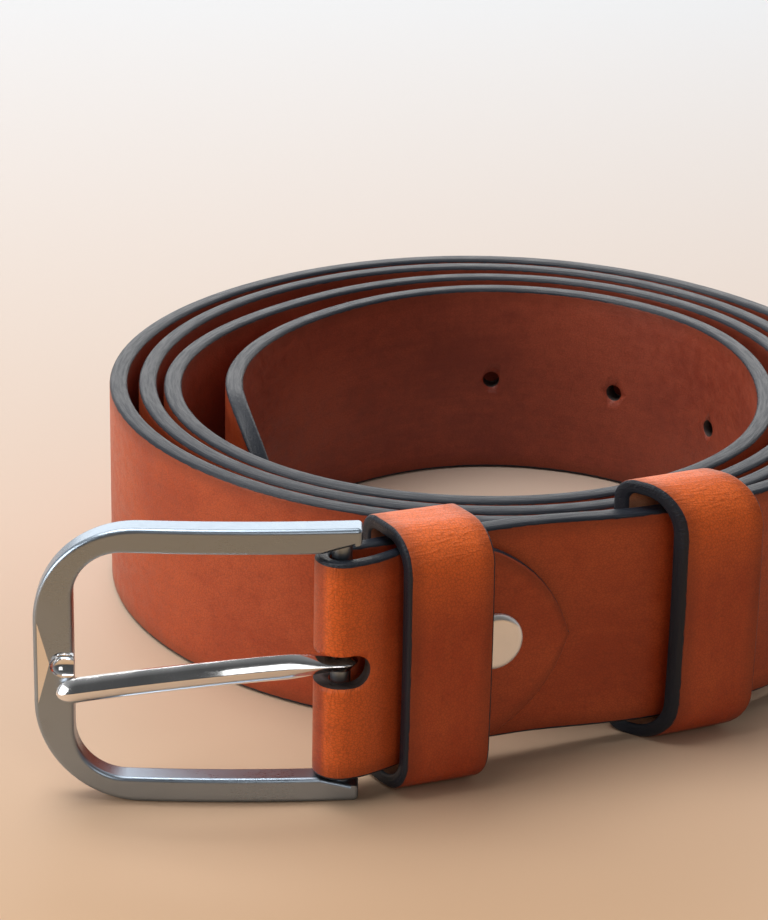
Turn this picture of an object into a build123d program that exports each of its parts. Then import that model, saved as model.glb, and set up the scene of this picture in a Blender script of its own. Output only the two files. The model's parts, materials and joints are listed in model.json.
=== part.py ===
"""Leather belt, coiled and standing on its edge, with buckle, prong, two keepers and a screw.

Millimetres, +Z up, the table at Z = 0.  The origin is the middle of the belt's bounding box,
on the table.  Everything is first laid out about the coil's own axis and moved at the end.
"""
import math
import os

from build123d import *

# ---------------------------------------------------------------- driving dimensions
belt_width = 35.0
leather_thickness = 3.0
core_radius = 47.9          # centre line of the first turn, at the back of the coil
window_room = 1.1           # opening of the buckle frame over the belt's width
frame_length = 44.6         # bar axis to the outer face of the frame's end bar
prong_reach = 41.2          # bar axis to the prong's tip
keeper_thickness = 2.2
keeper_width = 13.5
bar_diameter = 3.0

# ---------------------------------------------------------------- the coil
station_step = 45.0         # degrees between the places where the coil's lie is given
# radius of the first turn at left, back left, back, back right, right, front right, front,
# front left, each less than core_radius by:
first_turn_dip = (4.0, 4.0, 0.2, 0.0, 2.7, 1.0, -2.1, -5.1)
# air between one turn and the next at the same eight places
turn_gaps = (
    (7.2, 4.4, 3.3, 2.8, 3.3, 1.7, 0.9, 0.7),
    (1.3, 4.3, 2.7, 1.6, 1.5, 1.0, 0.8, 0.8),
    (1.9, 1.5, 1.3, 1.6, 4.6, 5.0),
)
leave_angle = 68.5          # degrees below the right-hand side where the belt leaves the coil
round_from = 15.0           # the last turn is a true circle from here to leave_angle
tip_angle = 217.0           # where the loose end stops, inside the coil
samples_per_turn = 36
rise_length = 42.0          # belt over which its edge leaves the table
rise_end = 52.0             # this far before the belt leaves the coil it is at keeper height
straight_length = 52.4      # from the bar axis to where the belt leaves the coil
second_rise_start = 2.0     # past that point the belt rises again, up to the buckle
second_rise_length = 22.0

# ---------------------------------------------------------------- the belt's own features
tip_point_length = 22.0
hole_count = 5
hole_diameter = 3.0
hole_pitch = 23.9
first_hole_from_tip = 99.5
tab_thickness = 2.0
fold_thickness = 2.2
tab_length = 36.5           # bar axis to the point of the folded tab
tab_point_length = 22.0
tab_drop = 0.7              # the tab is folded over this much too low
tab_settle = 16.0           # from the bar axis to where the tab lies on the belt
tab_seam = 0.06
taper_length = 12.0         # where the belt is pared down towards the fold
fold_slot_width = 5.2
fold_slot_room = 0.72       # from the prong's eye to the end of its slot

# ---------------------------------------------------------------- buckle
frame_bar_width = 5.8       # face width of the end bar
frame_arm_height = 3.9
frame_depth = 4.0
frame_corner_radius = 15.5
frame_window_radius = 7.5
frame_bow = 1.3             # how far the frame's face is arched outwards
frame_edge_round = 0.7
lug_extension = 2.9         # frame beyond the bar axis
lug_bevel_length = 4.8
lug_bevel_height = 1.3
bar_seat_depth = 2.1        # bar end inside each arm
frame_swing_at_rest = 20.5  # degrees the frame hangs back from the line of the belt
belt_sag = 0.25             # the belt hangs this much below the middle of the window
bar_play = 0.30             # fold leather clear of the bar, on the radius
notch_diameter = 4.4
notch_length = 3.7          # from the window into the end bar
notch_depth = 1.5

# ---------------------------------------------------------------- prong
prong_width = 4.0
prong_root_width = 2.4
prong_thickness = 2.6
prong_wall = 1.0
prong_bore_clearance = 0.08
prong_arch = 2.2
prong_root_raise = 0.2      # the eye sits this much above the middle of the bar
prong_hump = 0.8            # extra height half way along
prong_droop = 4.2           # how far the tip has dropped along the frame's end bar
prong_face_gap = 0.35
prong_sag_power = 1.6       # the sag grows with this power of the distance from the bar
prong_tip_narrowing = 0.85  # share of the section's area lost at the very tip
prong_full_from = 0.20      # share of its reach where the shank gets to full width,
prong_round_from = 0.93     # and where the tip starts to round off
prong_sections = 20

# ---------------------------------------------------------------- keepers
keeper_air = 0.35           # least air between a keeper and what it goes round
keeper_slack = 1.8          # spare room in front, for the belt's loose end
keeper_room = 1.2           # between the belt's top edge and a keeper's top
keeper_floor_room = 0.9     # between the belt's lower edge and the sliding keeper's bottom
keeper_front_radius = 5.6   # outside corner radii, front and back
keeper_back_radius = 3.4
fixed_keeper_start = 5.6    # from the bar axis, at the back wall
fixed_keeper_front = 3.4    # inner face of its front wall, in front of the bar axis
fixed_keeper_foot = 0.2     # its lower edge above the table
fixed_keeper_skew = 12.0
sliding_keeper_angle = 66.0
sliding_keeper_skew = 34.0
keeper_seam = 0.1           # between the loop's two ends, at the back
staple_wire = 0.9
staple_span = 7.0

# ---------------------------------------------------------------- screw
screw_from_bar = 24.2
cap_diameter = 9.0
cap_height = 1.1
post_diameter = 4.6
screw_thread_diameter = 3.0
screw_head_diameter = 7.6
screw_head_height = 0.8
screw_fit = 0.03
screw_slot_width = 1.0
screw_slot_depth = 0.5

# ---------------------------------------------------------------- worked out from the above
half_leather = leather_thickness / 2
window_height = belt_width + window_room
frame_height = window_height + 2 * frame_arm_height
fold_inner_radius = bar_diameter / 2 + bar_play
fold_outer_radius = fold_inner_radius + fold_thickness
bore_radius = bar_diameter / 2 + prong_bore_clearance
eye_radius = bore_radius + prong_wall
fold_slot_reach = eye_radius + fold_slot_room
lift_at_buckle = (frame_height - belt_width) / 2 - belt_sag
lift_at_keeper = keeper_thickness + keeper_floor_room
mid_height = frame_height / 2
belt_mid_height = lift_at_buckle + belt_width / 2
keeper_height = lift_at_buckle - fixed_keeper_foot + belt_width + keeper_room + keeper_thickness
tab_face = -fold_inner_radius + tab_seam + tab_thickness


def on_circle(radius, degrees):
    """Point of the plan at this radius and angle about the coil's axis."""
    turn = math.radians(degrees)
    return Vector(radius * math.cos(turn), radius * math.sin(turn), 0)


def coil_stations():
    """Angle and centre-line radius down the coil, clockwise from the left of the first turn."""
    ring = [core_radius - dip for dip in first_turn_dip]
    stations = []
    angle = 180.0
    for radius in ring:
        stations.append((angle, radius))
        angle -= station_step
    for gaps in turn_gaps:
        ring = [radius + leather_thickness + gap for radius, gap in zip(ring, gaps)]
        for radius in ring:
            stations.append((angle, radius))
            angle -= station_step
    return stations


stations = coil_stations()
leave_radius = stations[-1][1]
last_angle = stations[0][0] - station_step * (len(stations) - 1) - (leave_angle - station_step)


def lay_radius(angle):
    """Centre-line radius at any wound angle, smooth through the stations."""
    round_start = last_angle + leave_angle - round_from
    if angle <= round_start:
        return leave_radius
    place = (stations[0][0] - angle) / station_step
    index = math.floor(place)
    share = place - index

    def value(number):
        return stations[max(0, min(len(stations) - 1, number))][1]

    before, here, there, after = (value(index + step) for step in (-1, 0, 1, 2))
    slope_here = (there - before) / 2
    slope_there = (after - here) / 2
    square, cube = share ** 2, share ** 3
    return (
        (2 * cube - 3 * square + 1) * here
        + (cube - 2 * square + share) * slope_here
        + (3 * square - 2 * cube) * there
        + (cube - square) * slope_there
    )


def coil_point(angle, outward=0.0):
    """Point of the plan on the coil, moved outwards square to its centre line."""
    nudge = 0.25
    here = on_circle(lay_radius(angle), angle)
    ahead = on_circle(lay_radius(angle - nudge), angle - nudge)
    behind = on_circle(lay_radius(angle + nudge), angle + nudge)
    along = (ahead - behind).normalized()
    return here + Vector(along.Y * -1, along.X, 0) * outward


def coil_angle_at(length):
    """Wound angle at this length of belt from the tip."""
    step = 0.5
    angle = tip_angle
    run = 0.0
    while run < length:
        run += (coil_point(angle - step) - coil_point(angle)).length
        angle -= step
    return angle


# The straight end of the belt has its own directions: "along" runs from the bar axis towards
# the coil, "front" points out of the coil's side of the belt, away from the coil.
along = on_circle(1, 90 - leave_angle)
front = on_circle(1, -leave_angle)
belt_centre_n = -fold_inner_radius - half_leather
leave_point = on_circle(leave_radius, -leave_angle)
bar_axis = leave_point - along * straight_length - front * belt_centre_n


def smooth_step(share):
    share = max(0.0, min(1.0, share))
    return share * share * (3 - 2 * share)


def lift_at(before_leaving):
    """Height of the belt's lower edge, by length of belt before it leaves the coil."""
    level = lift_at_keeper * smooth_step((rise_end + rise_length - before_leaving) / rise_length)
    second = smooth_step((-before_leaving - second_rise_start) / second_rise_length)
    return level + (lift_at_buckle - lift_at_keeper) * second


level_from_bar = straight_length - second_rise_start - second_rise_length


# ---------------------------------------------------------------- strap
def coil_band():
    """The flat-standing part of the coil, from the tip to where the belt starts to rise."""
    rise_angle = math.degrees((rise_end + rise_length) / leave_radius)
    end_angle = last_angle + rise_angle
    count = round((tip_angle - end_angle) / 360 * samples_per_turn)
    angles = [tip_angle + (end_angle - tip_angle) * step / count for step in range(count + 1)]
    outer = [coil_point(angle, half_leather) for angle in angles]
    inner = [coil_point(angle, -half_leather) for angle in angles]
    outer_edge = Spline(*outer)
    inner_edge = Spline(*inner)
    tip_edge = Line(inner[0], outer[0])
    end_edge = Line(inner[-1], outer[-1])
    face = make_face(outer_edge + inner_edge + tip_edge + end_edge)
    return extrude(face, amount=belt_width, dir=(0, 0, 1)), end_angle


def belt_section(centre, direction, lift):
    """Cross-section of the belt standing square to a direction of the plan."""
    plane = Plane(origin=centre + Vector(0, 0, lift + belt_width / 2), x_dir=(0, 0, 1), z_dir=direction)
    return plane * Rectangle(belt_width, leather_thickness)


def rising_band(end_angle):
    """The belt from the table up to the height of the buckle, round the coil and off it."""
    steps = 14
    sections = []
    start = math.radians(end_angle - last_angle) * leave_radius
    for step in range(steps + 1):
        before = start * (1 - step / steps)
        angle = last_angle + math.degrees(before / leave_radius)
        direction = on_circle(1, angle - 90)
        sections.append(belt_section(coil_point(angle), direction, lift_at(before)))
    for step in range(1, 7):
        past = (second_rise_start + second_rise_length) * step / 6
        sections.append(belt_section(leave_point - along * past, -along, lift_at(-past)))
    return loft(sections)


def at(u, n, z=0.0):
    """Point by its distance along the straight end, in front of the bar axis, and up."""
    return bar_axis + along * u + front * n + Vector(0, 0, z)


def pointed_trim(length, half_width, margin=3.0):
    """What is cut away to leave a pointed arch: its point at X = 0, the belt towards -X."""
    radius = (length ** 2 + half_width ** 2) / (2 * half_width)
    turn = math.asin(length / radius) / 2
    drop = radius * (1 - math.cos(turn))
    middle = (-length + radius * math.sin(turn), half_width - drop)
    cuts = []
    for side in (1, -1):
        start = (-length, side * half_width)
        arc = ThreePointArc(start, (middle[0], side * middle[1]), (0, 0))
        back = Polyline(
            (0, 0),
            (margin, 0),
            (margin, side * (half_width + margin)),
            (-length, side * (half_width + margin)),
            start,
        )
        cuts.append(make_face(arc + back))
    return cuts


def trim_point(shape, plane, length, half_width, depth, both):
    for face in pointed_trim(length, half_width):
        shape = shape - extrude(plane * face, amount=depth, both=both)
    return shape


def buckle_end():
    """The level end of the belt: pared down, folded round the bar and laid back as the tab."""
    back_face = -fold_inner_radius - leather_thickness
    tab_back = -fold_inner_radius + tab_seam
    outline = (
        Line(at(level_from_bar, back_face), at(taper_length, back_face))
        + Spline(
            at(taper_length, back_face),
            at(0, -fold_outer_radius),
            tangents=(-along, -along),
        )
        + ThreePointArc(at(0, -fold_outer_radius), at(-fold_outer_radius, 0), at(0, fold_outer_radius))
        + Spline(at(0, fold_outer_radius), at(tab_settle, tab_face), tangents=(along, along))
        + Polyline(
            at(tab_settle, tab_face),
            at(tab_length, tab_face),
            at(tab_length, tab_back),
            at(tab_settle, tab_back),
        )
        + Spline(at(tab_settle, tab_back), at(0, fold_inner_radius), tangents=(-along, -along))
        + ThreePointArc(at(0, fold_inner_radius), at(-fold_inner_radius, 0), at(0, -fold_inner_radius))
        + Polyline(
            at(0, -fold_inner_radius),
            at(level_from_bar, -fold_inner_radius),
            at(level_from_bar, back_face),
        )
    )
    end = extrude(make_face(outline), amount=belt_width, dir=(0, 0, 1))
    end = end.moved(Location((0, 0, lift_at_buckle)))
    point_plane = Plane(
        origin=at(tab_length, tab_back - tab_seam / 2, belt_mid_height - tab_drop),
        x_dir=along,
        z_dir=front,
    )
    end = trim_point(end, point_plane, tab_point_length, belt_width / 2, 3 * tab_thickness, False)
    slot_length = fold_outer_radius + fold_slot_reach + 2
    slot_plane = Plane(
        origin=at(fold_slot_reach - slot_length / 2, 0, mid_height), x_dir=along, z_dir=front
    )
    slot = SlotOverall(slot_length, fold_slot_width)
    return end - extrude(slot_plane * slot, amount=fold_outer_radius + 1, both=True)


def strap():
    band, end_angle = coil_band()
    tip_arc = math.degrees(tip_point_length / lay_radius(tip_angle))
    tip = coil_point(tip_angle)
    tip_run = (tip - coil_point(tip_angle - tip_arc)).normalized()
    tip_plane = Plane(
        origin=tip + Vector(0, 0, belt_width / 2),
        x_dir=tip_run,
        z_dir=tip_run.cross(Vector(0, 0, 1)),
    )
    band = trim_point(band, tip_plane, tip_point_length, belt_width / 2, leather_thickness, True)
    for number in range(hole_count):
        angle = coil_angle_at(first_hole_from_tip + number * hole_pitch)
        plane = Plane(
            origin=coil_point(angle) + Vector(0, 0, belt_width / 2), z_dir=on_circle(1, angle)
        )
        punch = extrude(plane * Circle(hole_diameter / 2), amount=leather_thickness * 0.8, both=True)
        band = band - punch
    belt = band + rising_band(end_angle) + buckle_end()
    hole_plane = Plane(origin=at(screw_from_bar, 0, belt_mid_height), z_dir=front)
    hole = Circle(post_diameter / 2 + screw_fit)
    return belt - extrude(hole_plane * hole, amount=3 * leather_thickness, both=True)


# ---------------------------------------------------------------- buckle frame, bar and prong
swing = math.radians(frame_swing_at_rest)
frame_out = along * -math.cos(swing) - front * math.sin(swing)
frame_front = front * math.cos(swing) - along * math.sin(swing)
frame_plane = Plane(
    origin=bar_axis + Vector(0, 0, mid_height), x_dir=frame_out, z_dir=frame_front * -1
)


def frame_at(x, q, z=0.0):
    """Point by its distance from the bar axis along the frame, out of its face, and up."""
    return bar_axis + frame_out * x + frame_front * q + Vector(0, 0, z)


def bow_at(x):
    """How far the middle of the arched frame stands in front of the bar axis."""
    span = frame_length + lug_extension
    share = (x + lug_extension) / span
    return 4 * frame_bow * share * (1 - share)


def bowed_slab():
    """The arched plate the frame is cut from."""
    ends = (-lug_extension - 1, frame_length + 1)
    middle = (frame_length - lug_extension) / 2
    half = frame_depth / 2
    front_arc, back_arc = (
        ThreePointArc(*(frame_at(x, bow_at(x) + offset) for x in (ends[0], middle, ends[1])))
        for offset in (half, -half)
    )
    sides = [Line(frame_at(x, bow_at(x) + half), frame_at(x, bow_at(x) - half)) for x in ends]
    return extrude(make_face(front_arc + back_arc + sides[0] + sides[1]), amount=frame_height, dir=(0, 0, 1))


def buckle_frame():
    half_height = frame_height / 2
    half_window = window_height / 2
    window_end = frame_length - frame_bar_width
    blank_length = frame_length + lug_extension
    blank = Pos(frame_length - blank_length / 2, 0) * Rectangle(blank_length, frame_height)
    left_corners = blank.vertices().group_by(Axis.X)[-1]
    blank = fillet(left_corners, frame_corner_radius)
    window = Pos(window_end / 2 - lug_extension, 0) * Rectangle(
        window_end + 2 * lug_extension, window_height
    )
    window = fillet(window.vertices().group_by(Axis.X)[-1], frame_window_radius)
    flare = Polyline(
        (-2 * lug_extension, half_window + lug_bevel_height),
        (-lug_extension + 1, half_window + lug_bevel_height),
        (-lug_extension + 1 + lug_bevel_length, half_window),
        (-lug_extension + 1 + lug_bevel_length, -half_window),
        (-lug_extension + 1, -half_window - lug_bevel_height),
        (-2 * lug_extension, -half_window - lug_bevel_height),
        close=True,
    )
    outline = blank - window - make_face(flare)
    solid = extrude(frame_plane * outline, amount=2 * frame_depth, both=True) & bowed_slab()
    solid = fillet(solid.edges().filter_by(lambda edge: edge.length > 2 * frame_edge_round), frame_edge_round)
    seat = Cylinder(bar_diameter / 2, window_height + 2 * bar_seat_depth)
    solid = solid - Pos(bar_axis + Vector(0, 0, mid_height)) * seat
    notch_radius = notch_diameter / 2
    notch_q = bow_at(window_end) + frame_depth / 2 + notch_radius - notch_depth
    groove_plane = Plane(
        origin=frame_at(window_end + notch_length - notch_radius, notch_q, mid_height),
        z_dir=frame_out * -1,
    )
    groove = extrude(groove_plane * Circle(notch_radius), amount=2 * frame_bar_width)
    groove = groove + Pos(groove_plane.origin) * Sphere(notch_radius)
    return solid - groove


def buckle_bar():
    bar = Cylinder(bar_diameter / 2, window_height + 2 * bar_seat_depth)
    bar = chamfer(bar.edges(), 0.2)
    return Pos(bar_axis + Vector(0, 0, mid_height)) * bar


def prong():
    """A curled eye on the bar and a roof-shaped shank that leaves its front and sags to the tip."""
    root_q = eye_radius - prong_thickness / 2
    tip_q = bow_at(prong_reach) + frame_depth / 2 + prong_face_gap + prong_thickness * 0.4
    sections = []
    for step in range(prong_sections + 1):
        share = step / prong_sections
        q = root_q + (tip_q - root_q) * share + prong_arch * math.sin(math.pi * share)
        raised = prong_root_raise + prong_hump * math.sin(math.pi * share)
        z = mid_height + raised - prong_droop * share ** prong_sag_power
        widening = smooth_step(share / prong_full_from)
        width = prong_root_width + (prong_width - prong_root_width) * widening
        rounding = max(0.0, (share - prong_round_from) / (1 - prong_round_from))
        narrow = math.sqrt(1 - prong_tip_narrowing * rounding ** 2)
        width *= narrow
        thickness = prong_thickness * narrow
        plane = Plane(origin=frame_at(share * prong_reach, q, z), x_dir=frame_front, z_dir=frame_out)
        outline = Polyline(
            (-thickness / 2, -0.35 * width),
            (-0.05 * thickness, -0.5 * width),
            (thickness / 2, 0.05 * width),
            (-0.05 * thickness, 0.5 * width),
            (-thickness / 2, 0.35 * width),
            close=True,
        )
        sections.append(plane * make_face(outline))
    shank = loft(sections, ruled=True)
    place = Pos(bar_axis + Vector(0, 0, mid_height + prong_root_raise))
    eye = place * Cylinder(eye_radius, prong_root_width)
    return shank + eye - place * Cylinder(bore_radius, 4 * prong_width)


# ---------------------------------------------------------------- keepers and their staples
def rounded_loop_outline(depth, height, back_radius, front_radius):
    """A rectangle with its own corner radius behind (-X) and in front (+X)."""
    outline = Rectangle(depth, height)
    outline = fillet(outline.vertices().group_by(Axis.X)[0], back_radius)
    return fillet(outline.vertices().group_by(Axis.X)[-1], front_radius)


def keeper_loop(origin, run, out, inner_back, inner_front, skew_degrees, foot):
    """A leather loop: origin on the belt's centre line at the back wall's first edge."""
    skew = math.radians(skew_degrees)
    across = out * math.cos(skew) + run * math.sin(skew)
    stretch = 1 / math.cos(skew)
    depth = (inner_front - inner_back + 2 * keeper_thickness) * stretch
    start = origin + out * (inner_back - keeper_thickness)
    loop_middle = Vector(0, 0, foot + keeper_height / 2)
    middle = start + across * depth / 2 + loop_middle
    plane = Plane(origin=middle, x_dir=across, z_dir=across.cross(Vector(0, 0, 1)))
    outer = rounded_loop_outline(depth, keeper_height, keeper_back_radius, keeper_front_radius)
    inner = rounded_loop_outline(
        depth - 2 * keeper_thickness * stretch,
        keeper_height - 2 * keeper_thickness,
        keeper_back_radius - keeper_thickness,
        keeper_front_radius - keeper_thickness,
    )
    ring = extrude(plane * (outer - inner), amount=keeper_width, dir=run)
    back = start + run * keeper_width / 2 + loop_middle
    seam = Plane(origin=back, x_dir=run, z_dir=(0, 0, 1)) * Box(
        2 * keeper_width, 2.5 * keeper_thickness, keeper_seam
    )
    return ring - seam, back


def staple(back, out):
    """A wire staple across the loop's seam; its crown lies on the back of the loop."""
    half = staple_span / 2
    crown = back + out * staple_wire * 0.1
    ends = [crown + Vector(0, 0, side * half) for side in (-1, 1)]
    tips = [end + out * keeper_thickness * 0.8 for end in ends]
    path = Polyline(tips[0], ends[0], ends[1], tips[1])
    profile = Plane(origin=tips[0], z_dir=out * -1) * Circle(staple_wire / 2)
    return sweep(profile, path=path, transition=Transition.RIGHT)


def fixed_keeper():
    inner_back = -fold_inner_radius - leather_thickness - keeper_air
    ring, back = keeper_loop(
        at(fixed_keeper_start, 0),
        along,
        front,
        inner_back,
        fixed_keeper_front,
        fixed_keeper_skew,
        fixed_keeper_foot,
    )
    pin = staple(back, front)
    return ring - pin, pin


def sliding_keeper():
    out = on_circle(1, -sliding_keeper_angle)
    run = on_circle(1, 90 - sliding_keeper_angle)
    reach = half_leather + keeper_air + keeper_width ** 2 / (8 * leave_radius)
    inner_front = reach + keeper_slack
    skew_shift = math.tan(math.radians(sliding_keeper_skew)) * (2 * reach + keeper_slack)
    origin = out * leave_radius - run * (keeper_width + skew_shift) / 2
    ring, back = keeper_loop(origin, run, out, -reach, inner_front, sliding_keeper_skew, 0)
    pin = staple(back, out)
    return ring - pin, pin


# ---------------------------------------------------------------- screw
def screw_post():
    """Cap and barrel: the cap lies on the tab, the barrel goes through both layers."""
    plane = Plane(origin=at(screw_from_bar, tab_face, belt_mid_height), z_dir=front)
    cap = chamfer(
        Cylinder(cap_diameter / 2, cap_height, align=(Align.CENTER, Align.CENTER, Align.MIN))
        .edges()
        .group_by(Axis.Z)[-1],
        cap_height * 0.7,
    )
    stack = leather_thickness + tab_seam + tab_thickness
    barrel_length = stack - 0.3
    barrel = Cylinder(
        post_diameter / 2, barrel_length, align=(Align.CENTER, Align.CENTER, Align.MAX)
    )
    bore = Cylinder(
        screw_thread_diameter / 2, barrel_length, align=(Align.CENTER, Align.CENTER, Align.MAX)
    )
    return plane * (cap + barrel - bore)


def screw():
    """The screw from the back of the belt: slotted head and shank in the post's bore."""
    back_face = -fold_inner_radius - leather_thickness
    plane = Plane(origin=at(screw_from_bar, back_face - screw_fit, belt_mid_height), z_dir=front * -1)
    head = Cylinder(
        screw_head_diameter / 2, screw_head_height, align=(Align.CENTER, Align.CENTER, Align.MIN)
    )
    head = chamfer(head.edges().group_by(Axis.Z)[-1], screw_head_height * 0.4)
    shank = Cylinder(
        screw_thread_diameter / 2 - screw_fit,
        leather_thickness + 0.5 * tab_thickness,
        align=(Align.CENTER, Align.CENTER, Align.MAX),
    )
    cut = Pos(0, 0, screw_head_height) * Box(
        2 * screw_head_diameter, screw_slot_width, 2 * screw_slot_depth
    )
    return plane * (head + shank - cut)


# ---------------------------------------------------------------- build, place and write
fixed_loop, fixed_staple = fixed_keeper()
sliding_loop, sliding_staple = sliding_keeper()
shapes = {
    "strap": strap(),
    "buckle_frame": buckle_frame(),
    "buckle_bar": buckle_bar(),
    "prong": prong(),
    "fixed_keeper": fixed_loop,
    "fixed_keeper_staple": fixed_staple,
    "sliding_keeper": sliding_loop,
    "sliding_keeper_staple": sliding_staple,
    "screw_post": screw_post(),
    "screw": screw(),
}

whole = Compound(children=[Part() + shape for shape in shapes.values()]).bounding_box()
to_origin = Pos(-(whole.min.X + whole.max.X) / 2, -(whole.min.Y + whole.max.Y) / 2, 0)

os.makedirs("parts", exist_ok=True)
for name, shape in shapes.items():
    export_step(to_origin * shape, f"parts/{name}.step")


def placed(point):
    return tuple(round(value, 3) for value in to_origin.position + point)


print("bar axis", placed(bar_axis), "along", along, "front", front)
print("frame out", frame_out, "coil axis", placed(Vector(0, 0, 0)))
print("screw", placed(at(screw_from_bar, tab_face, belt_mid_height)))
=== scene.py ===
"""Looks of the coiled leather belt: strap, buckle, prong, keepers, screw, floor, light and camera."""
import json
import math

import bmesh
import bpy
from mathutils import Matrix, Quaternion, Vector
from mathutils.kdtree import KDTree


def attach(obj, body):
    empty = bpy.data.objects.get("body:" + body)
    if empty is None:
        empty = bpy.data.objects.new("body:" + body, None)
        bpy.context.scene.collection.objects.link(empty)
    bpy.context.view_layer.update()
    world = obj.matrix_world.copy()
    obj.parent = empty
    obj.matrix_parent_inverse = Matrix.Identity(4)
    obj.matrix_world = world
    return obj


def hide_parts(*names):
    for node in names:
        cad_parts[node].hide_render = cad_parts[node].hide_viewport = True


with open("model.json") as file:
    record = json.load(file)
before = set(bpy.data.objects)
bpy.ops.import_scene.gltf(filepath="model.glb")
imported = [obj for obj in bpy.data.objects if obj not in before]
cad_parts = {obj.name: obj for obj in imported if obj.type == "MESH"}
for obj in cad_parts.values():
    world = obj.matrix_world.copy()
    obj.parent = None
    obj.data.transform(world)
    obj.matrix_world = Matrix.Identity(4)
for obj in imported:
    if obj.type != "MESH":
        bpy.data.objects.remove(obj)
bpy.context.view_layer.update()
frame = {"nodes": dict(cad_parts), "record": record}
nodes = frame["nodes"]
joints = {joint["name"]: joint for joint in frame["record"]["behaviour"]["joints"]}
MM = 0.001

# ---------------------------------------------------------------- sizes, in millimetres
belt_width = 35.0
leather_thickness = 3.0
strap_edge_rounding = 0.8
core_radius = 47.9
first_turn_dip = (4.0, 4.0, 0.2, 0.0, 2.7, 1.0, -2.1, -5.1)
turn_gaps = (
    (7.2, 4.4, 3.3, 2.8, 3.3, 1.7, 0.9, 0.7),
    (1.3, 4.3, 2.7, 1.6, 1.5, 1.0, 0.8, 0.8),
    (1.9, 1.5, 1.3, 1.6, 4.6, 5.0),
)
station_step = 45.0
leave_angle = 68.5
round_from = 15.0
tip_angle = 217.0
rise_length = 42.0
rise_end = 52.0
second_rise_start = 2.0
second_rise_length = 22.0
tip_point_length = 22.0
hole_count = 5
hole_diameter = 3.0
hole_pitch = 23.9
first_hole_from_tip = 99.5
tab_thickness = 2.0
fold_thickness = 2.2
# where the fold's bend mask ends; the mask also carries a painted highlight
fold_bend_and_highlight_end = 9.0
fold_bend_and_highlight_run = 10.0
tab_length = 36.5
tab_point_length = 22.0
tab_drop = 0.7
tab_drop_run = 8
blunt_point = 0.35
tab_settle = 16.0
tab_seam = 0.06
taper_length = 12.0
bar_diameter = 3.0
bar_play = 0.30
straight_length = 52.4
fold_slot_width = 5.2
fold_slot_room = 0.72
window_room = 1.1
frame_arm_height = 3.9
window_height = belt_width + window_room
frame_height = window_height + 2 * frame_arm_height
frame_length = 44.6
frame_bar_width = 5.8
frame_depth = 4.0
frame_bow = 1.3
lug_extension = 2.9
frame_swing_at_rest = 20.5
notch_diameter = 4.4
notch_depth = 1.5
belt_sag = 0.25
prong_width = 4.0
prong_root_width = 2.4
prong_thickness = 2.6
prong_reach = 41.2
prong_arch = 2.2
prong_root_raise = 0.2
prong_hump = 0.8
prong_droop = 4.2
prong_sag_power = 1.6
prong_full_from = 0.20
prong_round_from = 0.93
prong_curl = math.radians(255)
prong_face_gap = 0.35
prong_wall = 1.0
prong_bore_clearance = 0.08
keeper_thickness = 2.2
keeper_edge_rounding = 0.65
keeper_width = 13.5
keeper_air = 0.35
keeper_slack = 1.8
keeper_room = 1.2
keeper_floor_room = 0.9
keeper_bulge = 0.3
# where the keeper's bend mask starts and how far it runs; the mask also carries a painted highlight
keeper_bend_and_highlight_start = 11.0
keeper_bend_and_highlight_run = 15.0
keeper_front_radius = 5.6
keeper_back_radius = 3.4
fixed_keeper_start = 5.6
fixed_keeper_front = 3.4
fixed_keeper_foot = 0.2
fixed_keeper_skew = 12.0
fixed_keeper_rounder = 0.4
sliding_keeper_angle = 66.0
sliding_keeper_skew = 34.0
sliding_keeper_rounder = 1.6
screw_from_bar = 24.2
cap_diameter = 9.0
cap_height = 1.1

half_leather = leather_thickness / 2
mid_height = frame_height / 2
lift_at_buckle = (frame_height - belt_width) / 2 - belt_sag
belt_mid_height = lift_at_buckle + belt_width / 2
keeper_height = (
    lift_at_buckle - fixed_keeper_foot + belt_width + keeper_room + keeper_thickness
)
lift_at_keeper = keeper_thickness + keeper_floor_room
fold_inner_radius = bar_diameter / 2 + bar_play
bore_radius = bar_diameter / 2 + prong_bore_clearance
eye_radius = bore_radius + prong_wall
fold_slot_reach = eye_radius + fold_slot_room
tab_face = -fold_inner_radius + tab_seam + tab_thickness

UP = Vector((0, 0, 1))


def joint_place(name):
    """Where a joint's axis meets the table, in millimetres."""
    place = Vector(joints[name]["pos_m"]) / MM
    return Vector((place.x, place.y, 0))


coil_axis = joint_place("keeper_run")
bar_axis = joint_place("buckle_swing")


# ---------------------------------------------------------------- the belt's path
def circle_direction(degrees):
    turn = math.radians(degrees)
    return Vector((math.cos(turn), math.sin(turn), 0))


def coil_stations():
    """Angle and centre-line radius down the coil, clockwise from the left of the first turn."""
    ring = [core_radius - dip for dip in first_turn_dip]
    stations = []
    angle = 180.0
    for gaps in ((0.0,) * len(ring),) + turn_gaps:
        grown = 0.0 if gaps[0] == 0.0 else leather_thickness
        ring = [radius + grown + gap for radius, gap in zip(ring, gaps)]
        for radius in ring:
            stations.append((angle, radius))
            angle -= station_step
    return stations


stations = coil_stations()
leave_radius = stations[-1][1]
last_angle = 180.0 - station_step * (len(stations) - 1) - (leave_angle - station_step)
along = circle_direction(90 - leave_angle)
front = circle_direction(-leave_angle)


def smooth_step(share):
    share = max(0.0, min(1.0, share))
    return share * share * (3 - 2 * share)


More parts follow.
